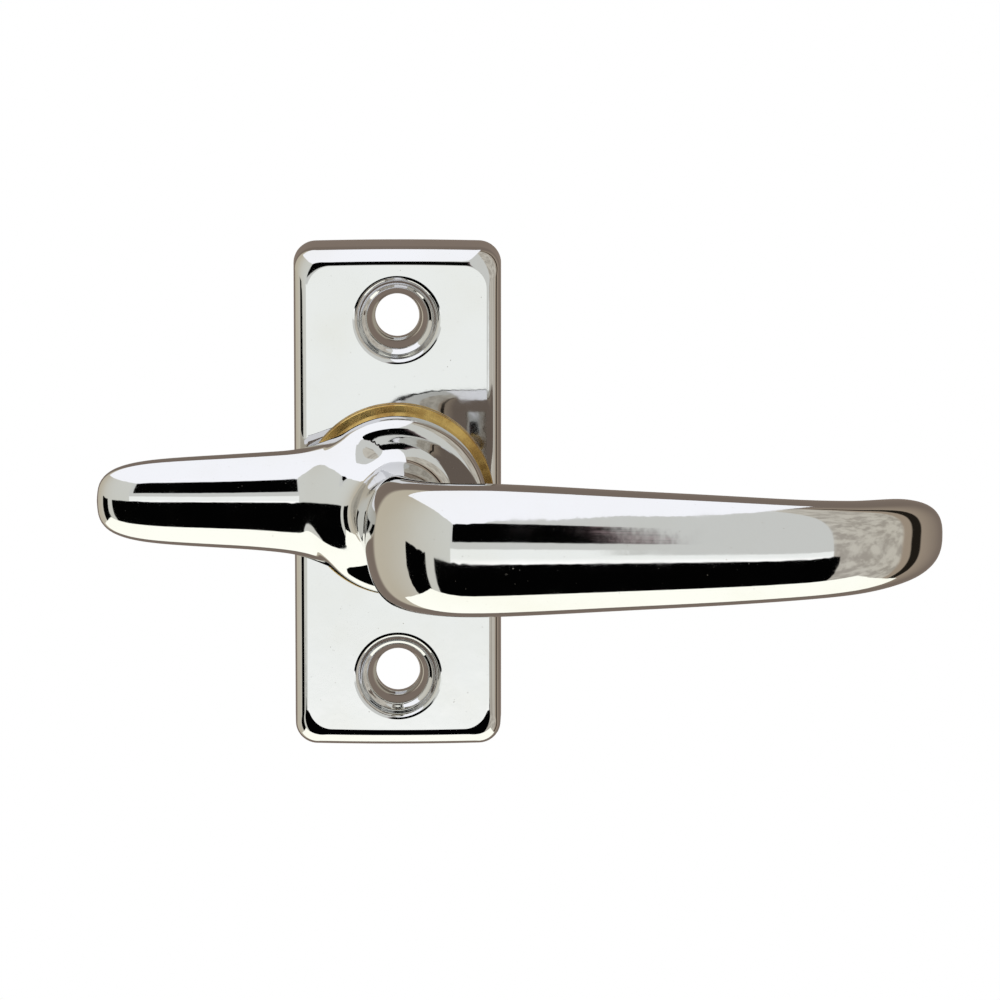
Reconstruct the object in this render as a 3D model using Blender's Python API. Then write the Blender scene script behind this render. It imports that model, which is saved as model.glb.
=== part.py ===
"""Cam-latch window handle: a base plate, a one-piece handle with lever and spur, and the
turning mechanism inside the plate.

Axes: +Z is up, the window frame is behind the plate, and the room side is toward -Y.
"Height" means the distance from the mounting surface toward the room.  All lengths in the
tables below are millimetres.  The handle turns on the Y axis through the world origin.
"""

import math

import bmesh
import bpy
from mathutils import Vector

MM = 0.001

# Base plate
PLATE_HALF_WIDTH = 13.1
PLATE_HALF_LENGTH = 32.0
PLATE_THICKNESS = 7.2
PLATE_FLOOR = 5.9
WALL_DRAFT = 0.12
EDGE_ROLL_HEIGHT = 2.1
EDGE_ROLL_SIDE = 1.85
EDGE_ROLL_END = 2.3
EDGE_ROLL_STEPS = 8
BASE_CORNER_RADIUS = 2.8
FLAT_CORNER_RADIUS = 3.0
END_BOW = 0.2
SCREW_PITCH = 45.5
SCREW_CLEARANCE_RADIUS = 2.85
SCREW_RECESS_RADIUS = 3.5
SCREW_RECESS_DEPTH = 1.8
SCREW_HOLE = (
    # radius, height: the shape of the countersunk hole from back to front
    (SCREW_CLEARANCE_RADIUS, 0.5),
    (SCREW_CLEARANCE_RADIUS, 2.9),
    (3.0, 3.2),
    (3.4, 3.65),
    (4.9, 6.65),
    (5.15, 7.0),
    (5.45, 7.16),
    (5.75, PLATE_THICKNESS),
    (5.75, PLATE_THICKNESS + 1.0),
)
POCKET_HALF_WIDTH = 10.4
POCKET_HALF_LENGTH = 15.0
POCKET_RADIUS = 1.6
PLATE_BORE_RADIUS = 4.5

# Spindle and what it carries
SPINDLE_RADIUS = 3.0
SPINDLE_BACK = 3.1
SPINDLE_FRONT = 26.0
FLAT_HALF_WIDTH = 2.3
BUSH_OUTER_RADIUS = 4.2
BUSH_INNER_RADIUS = 3.3
BUSH_BACK = 5.65
BUSH_FRONT = 7.45
WASHER_OUTER_RADIUS = 12.2
WASHER_INNER_RADIUS = 4.6
WASHER_BACK = 7.4
WASHER_THICKNESS = 0.8
CAM_HALF_WIDTH = 3.8
CAM_CORNER = 0.7
CAM_BACK = 4.05
CAM_THICKNESS = 0.9
WAVE_BACK = 5.2
WAVE_THICKNESS = 0.25
WAVE_AMPLITUDE = 0.1
CLIP_BACK = 3.35
CLIP_THICKNESS = 0.5

# Turning stop
STOP_RADIUS = 8.0
STOP_PIN_RADIUS = 1.0
STOP_GAP = 0.3
STOP_HALF_TRAVEL = 90.0
STOP_PIN_BACK = 3.7
STOP_PIN_FRONT = 9.7
GROOVE_TOP = 10.1

# Click springs
SPRING_Z = 4.3
SPRING_THICKNESS = 0.4
SPRING_HALF_LENGTH = 9.9
LUG_INNER = 4.8
LUG_OUTER = 6.4
LUG_START = 7.4

# Cover on the back of the plate
COVER_THICKNESS = 0.8
COVER_GAP = 0.3
COVER_SCREW_Z = 12.0
COVER_SCREW_RADIUS = 0.85
COVER_SCREW_HEAD = 1.8
COVER_SCREW_END = 3.3
COVER_HOLE_RADIUS = 1.2
BOSS_RADIUS = 2.5
BOSS_BACK = 1.1
STOP_BOSS_RADIUS = 1.8

# Handle
HUB_BACK = 8.5
HUB_PROFILE = (
    # radius, height
    (11.0, HUB_BACK),
    (11.3, 8.7),
    (11.35, 9.2),
    (11.35, 12.3),
    (11.2, 13.0),
    (10.85, 13.6),
    (10.3, 13.9),
    (9.5, 14.0),
    (7.6, 14.1),
    (6.9, 14.4),
    (6.2, 15.1),
    (5.7, 16.3),
    (5.35, 18.0),
    (5.2, 20.0),
    (5.15, 22.5),
)
NECK_RADIUS = 5.1
BEND_RADIUS = 9.0
BEND_BASE = 34.2
BEND_ANGLE = 88.0
BEND_STEPS = 14
BEND_ROOT_HALF_WIDTH = 7.4
BEND_ROOT_FRONT = 3.9
BEND_WIDENING = 0.125
OVAL_START = 22.0
LEVER_SQUARENESS = 2.3
TIP_SQUARENESS = 2.65
TIP_RISE = 0.2
TIP_RANGE = (55.0, 63.0)
LEVER_TABLE = (
    # along X, height of the widest line, half width, front bulge, back bulge
    (11.5, 43.2, 8.15, 4.7, 3.9),
    (15.0, 43.25, 8.0, 4.65, 3.85),
    (19.5, 43.35, 7.78, 4.55, 3.75),
    (24.3, 43.45, 7.5, 4.45, 3.65),
    (30.0, 43.5, 7.2, 4.3, 3.5),
    (36.3, 43.55, 6.88, 4.15, 3.4),
    (41.5, 43.6, 6.58, 4.0, 3.3),
    (46.0, 43.5, 6.3, 3.9, 3.2),
    (50.0, 43.2, 6.05, 3.8, 3.1),
    (53.0, 42.65, 5.88, 3.7, 3.05),
    (55.8, 41.7, 5.7, 3.6, 3.0),
    (58.4, 40.3, 5.5, 3.5, 2.9),
    (60.6, 38.6, 5.25, 3.3, 2.8),
    (62.4, 36.9, 4.9, 3.0, 2.6),
    (63.9, 35.3, 4.3, 2.6, 2.25),
    (65.0, 34.1, 3.5, 2.1, 1.8),
    (65.7, 33.3, 2.5, 1.5, 1.3),
    (66.1, 32.85, 1.3, 0.8, 0.7),
)
SPUR_BACK = 8.9
SPUR_HEIGHT = 10.9
SPUR_TILT = 5.5
SPUR_SQUARENESS = 2.1
SPUR_RISE = 0.4
SPUR_RISE_LENGTH = 20.0
SPUR_TABLE = (
    # along X, half width, front bulge, back bulge
    (-1.0, 6.5, 4.6, 2.3),
    (-3.2, 8.2, 5.2, 2.3),
    (-5.0, 9.0, 5.4, 2.3),
    (-7.0, 8.75, 5.2, 2.3),
    (-9.0, 8.0, 4.75, 2.3),
    (-10.8, 7.3, 4.2, 2.3),
    (-12.3, 6.86, 3.8, 2.3),
    (-14.0, 6.55, 3.65, 2.28),
    (-19.0, 6.16, 3.55, 2.25),
    (-24.0, 5.87, 3.38, 2.15),
    (-28.5, 5.58, 3.15, 2.05),
    (-31.5, 5.28, 2.9, 1.8),
    (-34.0, 4.8, 2.55, 1.5),
    (-35.8, 4.08, 2.1, 1.25),
    (-36.8, 3.25, 1.65, 1.0),
    (-37.4, 2.3, 1.1, 0.7),
    (-37.65, 1.2, 0.55, 0.35),
)
GRUB_HEIGHT = 11.6
GRUB_RADIUS = 2.0
GRUB_HOLE_RADIUS = 2.3
GRUB_INNER = 3.35
GRUB_OUTER = 9.4


def clear_scene():
    for item in list(bpy.data.objects):
        bpy.data.objects.remove(item, do_unlink=True)


def make_material(name, colour, metallic, roughness):
    material = bpy.data.materials.new(name)
    material.use_nodes = True
    shader = material.node_tree.nodes["Principled BSDF"]
    shader.inputs["Base Color"].default_value = (*colour, 1.0)
    shader.inputs["Metallic"].default_value = metallic
    shader.inputs["Roughness"].default_value = roughness
    return material


def make_empty(name):
    empty = bpy.data.objects.new(name, None)
    empty.empty_display_size = 10 * MM
    bpy.context.scene.collection.objects.link(empty)
    return empty


def make_object(name, mesh_data, material=None, parent=None):
    """One object from a bmesh whose coordinates are millimetres."""
    bmesh.ops.recalc_face_normals(mesh_data, faces=mesh_data.faces)
    bmesh.ops.scale(mesh_data, vec=(MM, MM, MM), verts=mesh_data.verts)
    mesh = bpy.data.meshes.new(name)
    mesh_data.to_mesh(mesh)
    mesh_data.free()
    item = bpy.data.objects.new(name, mesh)
    bpy.context.scene.collection.objects.link(item)
    if material:
        mesh.materials.append(material)
        mesh.shade_smooth()
        mesh.set_sharp_from_angle(angle=math.radians(32))
    if parent:
        item.parent = parent
    return item


def make_cutter(name, mesh_data):
    cutter = make_object(name, mesh_data)
    cutter.hide_render = True
    cutter.display_type = "WIRE"
    return cutter


def combine(item, other, operation):
    modifier = item.modifiers.new(other.name, "BOOLEAN")
    modifier.operation = operation
    modifier.solver = "EXACT"
    modifier.object = other


def skin_rings(rings, closed_loop=False):
    """A closed body from rings of equal length; a ring of one point closes to a tip."""
    body = bmesh.new()
    layers = [[body.verts.new(point) for point in ring] for ring in rings]
    pairs = list(zip(layers, layers[1:]))
    if closed_loop:
        pairs.append((layers[-1], layers[0]))
    for lower, upper in pairs:
        count = max(len(lower), len(upper))
        for step in range(count):
            after = (step + 1) % count
            corners = [lower[step % len(lower)], lower[after % len(lower)],
                       upper[after % len(upper)], upper[step % len(upper)]]
            unique = list(dict.fromkeys(corners))
            if len(unique) > 2:
                body.faces.new(unique)
    if not closed_loop:
        for ring in (layers[0], layers[-1]):
            if len(ring) > 2:
                body.faces.new(ring)
    return body


def turned(profile, segments, closed_loop=False):
    """A body turned about the Y axis from (radius, height) points."""
    rings = []
    for radius, height in profile:
        if radius == 0.0:
            rings.append([Vector((0.0, -height, 0.0))])
            continue
        ring = []
        for step in range(segments):
            angle = math.tau * step / segments
            ring.append(Vector((radius * math.cos(angle), -height, radius * math.sin(angle))))
        rings.append(ring)
    return skin_rings(rings, closed_loop)


def cylinder(radius, back, front, segments=32):
    return turned([(radius, back), (radius, front)], segments)


def tube(inner, outer, back, front, segments=64):
    profile = [(inner, back), (outer, back), (outer, front), (inner, front)]
    return turned(profile, segments, closed_loop=True)


def block(x_low, x_high, back, front, z_low, z_high):
    rings = []
    for height in (back, front):
        rings.append([Vector((x_low, -height, z_low)), Vector((x_high, -height, z_low)),
                      Vector((x_high, -height, z_high)), Vector((x_low, -height, z_high))])
    return skin_rings(rings)


def rounded_outline(half_width, half_length, radius, bow=0.0, corner_steps=8, side_steps=6):
    """Points (x, z) around a rectangle with round corners; bow lowers the corners in Z."""
    points = []
    for corner, (side, end) in enumerate(((1, 1), (-1, 1), (-1, -1), (1, -1))):
        for step in range(corner_steps + 1):
            angle = math.pi / 2 * (corner + step / corner_steps)
            points.append((side * (half_width - radius) + radius * math.cos(angle),
                           end * (half_length - radius) + radius * math.sin(angle)))
        if corner in (0, 2):
            start = side * (half_width - radius)
            for step in range(1, side_steps):
                points.append((start * (1 - 2 * step / side_steps), end * half_length))
    return [(x, z - math.copysign(bow * (x / half_width) ** 2, z)) for x, z in points]


def outline_ring(points, height):
    return [Vector((x, -height, z)) for x, z in points]


def slab(half_width, half_length, radius, back, front):
    points = rounded_outline(half_width, half_length, radius, side_steps=1)
    return skin_rings([outline_ring(points, back), outline_ring(points, front)])


def moved(body, offset):
    bmesh.ops.translate(body, vec=offset, verts=body.verts)
    return body


def build_base_plate(material, parent):
    rings = [outline_ring(rounded_outline(PLATE_HALF_WIDTH, PLATE_HALF_LENGTH,
                                          BASE_CORNER_RADIUS, END_BOW), 0.0)]
    for step in range(EDGE_ROLL_STEPS + 1):
        angle = math.pi / 2 * step / EDGE_ROLL_STEPS
        share = 1 - math.cos(angle)
        radius = BASE_CORNER_RADIUS + (FLAT_CORNER_RADIUS - BASE_CORNER_RADIUS) * share
        points = rounded_outline(PLATE_HALF_WIDTH - WALL_DRAFT - EDGE_ROLL_SIDE * share,
                                 PLATE_HALF_LENGTH - WALL_DRAFT - EDGE_ROLL_END * share,
                                 radius, END_BOW)
        rings.append(outline_ring(points, PLATE_THICKNESS - EDGE_ROLL_HEIGHT * (1 - math.sin(angle))))
    plate = make_object("base_plate", skin_rings(rings), material, parent)

    pocket = slab(POCKET_HALF_WIDTH, POCKET_HALF_LENGTH, POCKET_RADIUS, -1.0, PLATE_FLOOR)
    combine(plate, make_cutter("pocket_cutter", pocket), "DIFFERENCE")
    for side in (-1, 1):
        for end in (-1, 1):
            add_spring_lug(plate, side, end)
        boss = moved(cylinder(BOSS_RADIUS, BOSS_BACK, PLATE_FLOOR + 0.5),
                     (0, 0, side * COVER_SCREW_Z))
        combine(plate, make_cutter(f"cover_boss_{side}", boss), "UNION")
    stop_boss = moved(cylinder(STOP_BOSS_RADIUS, SPINDLE_BACK, PLATE_FLOOR + 0.5),
                      (0, 0, STOP_RADIUS))
    combine(plate, make_cutter("stop_boss", stop_boss), "UNION")
    cut_plate_holes(plate)
    return plate


def add_spring_lug(plate, side, end):
    x_values = sorted((side * LUG_START, side * (POCKET_HALF_WIDTH + 0.6)))
    z_values = sorted((end * LUG_INNER, end * LUG_OUTER))
    lug = block(*x_values, CLIP_BACK + 0.25, PLATE_FLOOR + 0.4, *z_values)
    combine(plate, make_cutter(f"spring_lug_{side}_{end}", lug), "UNION")


def cut_plate_holes(plate):
    combine(plate, make_cutter("bore_cutter", cylinder(PLATE_BORE_RADIUS, 5.0, 8.5, 64)),
            "DIFFERENCE")
    pin_hole = moved(cylinder(STOP_PIN_RADIUS + 0.2, 3.5, 8.2, 24), (0, 0, STOP_RADIUS))
    combine(plate, make_cutter("stop_pin_cutter", pin_hole), "DIFFERENCE")
    for side in (-1, 1):
        hole = moved(turned(SCREW_HOLE, 64), (0, 0, side * SCREW_PITCH / 2))
        combine(plate, make_cutter(f"mounting_hole_{side}", hole), "DIFFERENCE")
        recess = moved(cylinder(SCREW_RECESS_RADIUS, -1.0, SCREW_RECESS_DEPTH, 48),
                       (0, 0, side * SCREW_PITCH / 2))
        combine(plate, make_cutter(f"screw_recess_{side}", recess), "DIFFERENCE")
        pilot = moved(cylinder(COVER_SCREW_RADIUS + 0.2, 0.5, 3.6, 20), (0, 0, side * COVER_SCREW_Z))
        combine(plate, make_cutter(f"pilot_hole_{side}", pilot), "DIFFERENCE")


def build_cover_plate(material, parent):
    cover = make_object(
        "cover_plate",
        slab(POCKET_HALF_WIDTH - COVER_GAP, POCKET_HALF_LENGTH - COVER_GAP,
             POCKET_RADIUS - COVER_GAP, 0.0, COVER_THICKNESS),
        material, parent)
    for side in (-1, 1):
        hole = turned([(2.6, -0.5), (2.1, 0.0), (COVER_HOLE_RADIUS, 0.9), (COVER_HOLE_RADIUS, 1.5)],
                      32)
        moved(hole, (0, 0, side * COVER_SCREW_Z))
        combine(cover, make_cutter(f"cover_hole_{side}", hole), "DIFFERENCE")
    return cover


def build_cover_screw(name, position_z, material, parent):
    profile = [(0.0, 0.05), (COVER_SCREW_HEAD, 0.05), (COVER_SCREW_RADIUS, 1.0),
               (COVER_SCREW_RADIUS, COVER_SCREW_END - 0.3), (0.5, COVER_SCREW_END),
               (0.0, COVER_SCREW_END)]
    screw = make_object(name, turned(profile, 32), material, parent)
    screw.location = (0.0, 0.0, position_z * MM)
    slot = make_cutter(f"{name}_slot", block(-2.5, 2.5, -0.5, 0.4, -0.22, 0.22))
    slot.location = screw.location
    combine(screw, slot, "DIFFERENCE")
    return screw


def build_bush(material, parent):
    rim = 0.15
    profile = [(BUSH_INNER_RADIUS, BUSH_BACK), (BUSH_OUTER_RADIUS, BUSH_BACK),
               (BUSH_OUTER_RADIUS, BUSH_FRONT - rim), (BUSH_OUTER_RADIUS - rim, BUSH_FRONT),
               (BUSH_INNER_RADIUS + rim, BUSH_FRONT), (BUSH_INNER_RADIUS, BUSH_FRONT - rim)]
    return make_object("bearing_bush", turned(profile, 64, closed_loop=True), material, parent)


def build_friction_washer(material, parent):
    front = WASHER_BACK + WASHER_THICKNESS
    rim = 0.15
    profile = [(WASHER_INNER_RADIUS, WASHER_BACK), (WASHER_OUTER_RADIUS - rim, WASHER_BACK),
               (WASHER_OUTER_RADIUS, WASHER_BACK + rim), (WASHER_OUTER_RADIUS, front - rim),
               (WASHER_OUTER_RADIUS - rim, front), (WASHER_INNER_RADIUS, front)]
    washer = make_object("friction_washer", turned(profile, 80, closed_loop=True), material, parent)
    hole = moved(cylinder(STOP_PIN_RADIUS + 0.25, 6.5, 9.5, 24), (0, 0, STOP_RADIUS))
    combine(washer, make_cutter("washer_pin_cutter", hole), "DIFFERENCE")
    return washer


def build_stop_pin(material, parent):
    profile = [(0.0, STOP_PIN_BACK), (STOP_PIN_RADIUS - 0.2, STOP_PIN_BACK),
               (STOP_PIN_RADIUS, STOP_PIN_BACK + 0.2), (STOP_PIN_RADIUS, STOP_PIN_FRONT - 0.2),
               (STOP_PIN_RADIUS - 0.2, STOP_PIN_FRONT), (0.0, STOP_PIN_FRONT)]
    pin = make_object("stop_pin", turned(profile, 24), material, parent)
    pin.location = (0.0, 0.0, STOP_RADIUS * MM)
    return pin


def build_click_spring(name, end, material, parent):
    """A flat leaf that lies along one flat of the square cam."""
    low = SPRING_Z - SPRING_THICKNESS / 2
    high = SPRING_Z + SPRING_THICKNESS / 2
    z_values = sorted((end * low, end * high))
    leaf = block(-SPRING_HALF_LENGTH, SPRING_HALF_LENGTH, CAM_BACK, CAM_BACK + CAM_THICKNESS,
                 *z_values)
    return make_object(name, leaf, material, parent)


def build_square_cam(material, parent):
    outline = []
    half = CAM_HALF_WIDTH
    for x_sign, z_sign in ((1, 1), (-1, 1), (-1, -1), (1, -1)):
        pair = [(x_sign * half, z_sign * (half - CAM_CORNER)),
                (x_sign * (half - CAM_CORNER), z_sign * half)]
        outline += pair if x_sign * z_sign > 0 else pair[::-1]
    rings = [outline_ring(outline, height) for height in (CAM_BACK, CAM_BACK + CAM_THICKNESS)]
    cam = make_object("square_cam", skin_rings(rings), material, parent)
    hole = flatted_bar(SPINDLE_RADIUS + 0.2, FLAT_HALF_WIDTH + 0.2, CAM_BACK - 1.0,
                       CAM_BACK + CAM_THICKNESS + 1.0)
    combine(cam, make_cutter("cam_hole_cutter", hole), "DIFFERENCE")
    return cam


def flatted_bar(radius, half_flat, back, front, segments=48):
    """A round bar along Y with a flat on each side in Z."""
    rings = []
    for height in (back, front):
        ring = []
        for step in range(segments):
            angle = math.tau * (step + 0.5) / segments
            depth = max(-half_flat, min(half_flat, radius * math.sin(angle)))
            ring.append(Vector((radius * math.cos(angle), -height, depth)))
        rings.append(ring)
    return skin_rings(rings)


def build_wave_washer(material, parent):
    """A spring washer with three waves, which takes up the end play."""
    segments = 72
    rings = []
    inner, outer = SPINDLE_RADIUS + 0.35, 5.4
    corners = ((inner, 0.0), (outer, 0.0), (outer, WAVE_THICKNESS), (inner, WAVE_THICKNESS))
    for radius, rise in corners:
        ring = []
        for step in range(segments):
            angle = math.tau * step / segments
            height = WAVE_BACK + WAVE_AMPLITUDE * (1 + math.cos(3 * angle)) + rise
            ring.append(Vector((radius * math.cos(angle), -height, radius * math.sin(angle))))
        rings.append(ring)
    return make_object("wave_washer", skin_rings(rings, closed_loop=True), material, parent)


def build_retaining_clip(material, parent):
    """An open spring ring in the groove at the back end of the spindle."""
    opening = math.radians(50)
    steps = 40
    rings = []
    for step in range(steps + 1):
        angle = -math.pi / 2 + opening / 2 + (math.tau - opening) * step / steps
        direction = Vector((math.cos(angle), 0.0, math.sin(angle)))
        ring = []
        for radius, height in ((2.55, CLIP_BACK), (4.1, CLIP_BACK),
                               (4.1, CLIP_BACK + CLIP_THICKNESS), (2.55, CLIP_BACK + CLIP_THICKNESS)):
            ring.append(direction * radius + Vector((0.0, -height, 0.0)))
        rings.append(ring)
    return make_object("retaining_clip", skin_rings(rings), material, parent)


def build_spindle(material, parent):
    groove = 2.2
    profile = [(0.0, SPINDLE_BACK), (SPINDLE_RADIUS - 0.15, SPINDLE_BACK),
               (SPINDLE_RADIUS, SPINDLE_BACK + 0.12),
               (groove, SPINDLE_BACK + 0.13), (groove, CLIP_BACK + CLIP_THICKNESS + 0.1),
               (SPINDLE_RADIUS, CLIP_BACK + CLIP_THICKNESS + 0.11),
               (SPINDLE_RADIUS, SPINDLE_FRONT - 0.5), (SPINDLE_RADIUS - 0.5, SPINDLE_FRONT),
               (0.0, SPINDLE_FRONT)]
    spindle = make_object("spindle", turned(profile, 48), material, parent)
    for side in (-1, 1):
        z_values = sorted((side * FLAT_HALF_WIDTH, side * 4.0))
        flat = block(-4.0, 4.0, 0.0, CAM_BACK + CAM_THICKNESS + 0.1, *z_values)
        combine(spindle, make_cutter(f"spindle_flat_{side}", flat), "DIFFERENCE")
    dimple = turned([(0.0, -2.5), (1.6, -3.6), (1.6, -4.2), (0.0, -4.2)], 24)
    bmesh.ops.rotate(dimple, cent=(0, 0, 0), verts=dimple.verts,
                     matrix=rotation_to_down())
    moved(dimple, (0, -GRUB_HEIGHT, 0))
    combine(spindle, make_cutter("grub_dimple", dimple), "DIFFERENCE")
    return spindle


def rotation_to_down():
    """Turns a body modelled along +Y so that it points down, toward -Z."""
    return Vector((0.0, 1.0, 0.0)).rotation_difference(Vector((0.0, 0.0, -1.0))).to_matrix()


def build_grub_screw(material, parent):
    """A socket set screw in the underside of the hub that clamps the spindle."""
    profile = [(0.0, -GRUB_INNER), (1.0, -GRUB_INNER), (GRUB_RADIUS, -GRUB_INNER - 0.9),
               (GRUB_RADIUS, -GRUB_OUTER + 0.3), (GRUB_RADIUS - 0.3, -GRUB_OUTER),
               (0.0, -GRUB_OUTER)]
    body = turned(profile, 32)
    bmesh.ops.rotate(body, cent=(0, 0, 0), verts=body.verts, matrix=rotation_to_down())
    screw = make_object("grub_screw", moved(body, (0, -GRUB_HEIGHT, 0)), material, parent)
    socket = turned([(1.15, -GRUB_OUTER + 1.8), (1.15, -GRUB_OUTER - 0.6)], 6)
    bmesh.ops.rotate(socket, cent=(0, 0, 0), verts=socket.verts, matrix=rotation_to_down())
    combine(screw, make_cutter("grub_socket", moved(socket, (0, -GRUB_HEIGHT, 0))), "DIFFERENCE")
    return screw


def ease(value, start, end):
    """Goes smoothly from 0 at the start to 1 at the end."""
    share = min(1.0, max(0.0, (value - start) / (end - start)))
    return share * share * (3 - 2 * share)


def section_ring(centre, across, outward, half_width, front, back, squareness, count=40):
    """A pillow-shaped ring: half_width along across, front and back bulges along outward."""
    ring = []
    for step in range(count):
        angle = math.tau * step / count
        cosine, sine = math.cos(angle), math.sin(angle)
        width = math.copysign(abs(cosine) ** (2 / squareness), cosine) * half_width
        bulge = front if sine > 0 else back
        depth = math.copysign(abs(sine) ** (2 / squareness), sine) * bulge
        ring.append(centre + across * width + outward * depth)
    return ring


def spine_point(x, height, rise=0.0):
    return Vector((x, -height, rise))


def neck_and_bend_sections():
    """Stations up the neck and round the elbow: centre, outward direction and sizes."""
    stations = []
    for height in (12.0, 18.0, 22.0, 25.0, 28.0, 31.0):
        oval = ease(height, OVAL_START, BEND_BASE)
        stations.append((spine_point(0.0, height), Vector((-1, 0, 0)),
                         NECK_RADIUS + (BEND_ROOT_HALF_WIDTH - NECK_RADIUS) * oval,
                         NECK_RADIUS + (BEND_ROOT_FRONT - NECK_RADIUS) * oval, NECK_RADIUS, 2.0))
    _, _, lever_half_width, lever_front, lever_back = LEVER_TABLE[0]
    for step in range(BEND_STEPS + 1):
        angle = math.radians(BEND_ANGLE) * step / BEND_STEPS
        share = math.sin(angle)
        centre = spine_point(BEND_RADIUS * (1 - math.cos(angle)), BEND_BASE + BEND_RADIUS * share)
        outward = Vector((-math.cos(angle), -math.sin(angle), 0.0))
        half_width = (BEND_ROOT_HALF_WIDTH
                      + (lever_half_width - BEND_ROOT_HALF_WIDTH) * share ** BEND_WIDENING)
        front = BEND_ROOT_FRONT + (lever_front - BEND_ROOT_FRONT) * share
        back = NECK_RADIUS + (lever_back - NECK_RADIUS) * share
        squareness = 2.0 + (LEVER_SQUARENESS - 2.0) * share
        stations.append((centre, outward, half_width, front, back, squareness))
    return stations


def lever_sections():
    stations = []
    for index, (x, height, half_width, front, back) in enumerate(LEVER_TABLE):
        before = LEVER_TABLE[max(index - 1, 0)]
        after = LEVER_TABLE[min(index + 1, len(LEVER_TABLE) - 1)]
        run = Vector((after[0] - before[0], -(after[1] - before[1]), 0.0)).normalized()
        outward = Vector((run.y, -run.x, 0.0))
        tip = ease(x, *TIP_RANGE)
        squareness = LEVER_SQUARENESS + (TIP_SQUARENESS - LEVER_SQUARENESS) * tip
        stations.append((spine_point(x, height, TIP_RISE * tip), outward, half_width, front, back,
                         squareness))
    return stations


def build_lever_body():
    up = Vector((0, 0, 1))
    stations = neck_and_bend_sections() + lever_sections()
    rings = [section_ring(centre, up, outward, width, front, back, square)
             for centre, outward, width, front, back, square in stations]
    rings.append([stations[-1][0] + Vector((0.12, 0.0, 0.0))])
    return skin_rings(rings)


def build_spur_body():
    """The tapering spur: oval sections that face slightly down, with a flat back."""
    tilt = math.radians(SPUR_TILT)
    up = Vector((0.0, -math.sin(tilt), math.cos(tilt)))
    outward = Vector((0.0, -math.cos(tilt), -math.sin(tilt)))
    rings = []
    for x, width, front, back in SPUR_TABLE:
        centre = spine_point(x, SPUR_HEIGHT, SPUR_RISE * ease(-x, 0.0, SPUR_RISE_LENGTH))
        rings.append(section_ring(centre, up, outward, width, front, back, SPUR_SQUARENESS, 36))
    rings.append([spine_point(SPUR_TABLE[-1][0] - 0.05, SPUR_HEIGHT, SPUR_RISE)])
    for ring in rings:
        for point in ring:
            point.y = min(point.y, -SPUR_BACK)
    return skin_rings(rings)


def build_stop_groove():
    """The arc-shaped groove in the back of the hub in which the stop pin travels."""
    margin = math.degrees((STOP_PIN_RADIUS + STOP_GAP) / STOP_RADIUS)
    half_angle = math.radians(STOP_HALF_TRAVEL + margin)
    width = STOP_PIN_RADIUS + STOP_GAP
    steps = 40
    rings = []
    for step in range(steps + 1):
        angle = math.pi / 2 - half_angle + 2 * half_angle * step / steps
        direction = Vector((math.cos(angle), 0.0, math.sin(angle)))
        ring = []
        for radius, height in ((STOP_RADIUS - width, HUB_BACK - 1.0),
                               (STOP_RADIUS + width, HUB_BACK - 1.0),
                               (STOP_RADIUS + width, GROOVE_TOP),
                               (STOP_RADIUS - width, GROOVE_TOP)):
            ring.append(direction * radius + Vector((0.0, -height, 0.0)))
        rings.append(ring)
    return skin_rings(rings)


def build_handle(material, parent):
    handle = make_object("handle", turned(HUB_PROFILE, 80), material, parent)
    combine(handle, make_cutter("lever_body", build_lever_body()), "UNION")
    combine(handle, make_cutter("spur_body", build_spur_body()), "UNION")
    bore = turned([(SPINDLE_RADIUS + 0.3, HUB_BACK - 1.0),
                   (SPINDLE_RADIUS + 0.3, SPINDLE_FRONT + 0.4),
                   (0.0, SPINDLE_FRONT + 1.9)], 48)
    combine(handle, make_cutter("spindle_bore", bore), "DIFFERENCE")
    combine(handle, make_cutter("stop_groove", build_stop_groove()), "DIFFERENCE")
    grub_hole = turned([(GRUB_HOLE_RADIUS, -2.0), (GRUB_HOLE_RADIUS, -13.0)], 32)
    bmesh.ops.rotate(grub_hole, cent=(0, 0, 0), verts=grub_hole.verts, matrix=rotation_to_down())
    combine(handle, make_cutter("grub_hole", moved(grub_hole, (0, -GRUB_HEIGHT, 0))), "DIFFERENCE")
    return handle


def build_materials():
    return {
        "chrome": make_material("polished_chrome", (0.78, 0.78, 0.76), 1.0, 0.06),
        "brass": make_material("brass", (0.62, 0.42, 0.13), 1.0, 0.25),
        "bronze": make_material("sintered_bronze", (0.42, 0.26, 0.12), 1.0, 0.45),
        "steel": make_material("zinc_plated_steel", (0.55, 0.56, 0.57), 1.0, 0.35),
        "spring_steel": make_material("spring_steel", (0.32, 0.33, 0.36), 1.0, 0.3),
        "black_steel": make_material("black_oxide_steel", (0.05, 0.05, 0.055), 1.0, 0.45),
    }


def build_assembly():
    materials = build_materials()
    fixed = make_empty("fixed_parts")
    turning = make_empty("turning_parts")
    build_base_plate(materials["chrome"], fixed)
    build_bush(materials["bronze"], fixed)
    build_friction_washer(materials["brass"], fixed)
    build_stop_pin(materials["steel"], fixed)
    build_click_spring("click_spring_upper", 1, materials["spring_steel"], fixed)
    build_click_spring("click_spring_lower", -1, materials["spring_steel"], fixed)
    build_cover_plate(materials["steel"], fixed)
    build_cover_screw("cover_screw_upper", COVER_SCREW_Z, materials["steel"], fixed)
    build_cover_screw("cover_screw_lower", -COVER_SCREW_Z, materials["steel"], fixed)
    build_handle(materials["chrome"], turning)
    build_spindle(materials["steel"], turning)
    build_grub_screw(materials["black_steel"], turning)
    build_square_cam(materials["steel"], turning)
    build_wave_washer(materials["spring_steel"], turning)
    build_retaining_clip(materials["black_steel"], turning)


clear_scene()
build_assembly()
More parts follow.
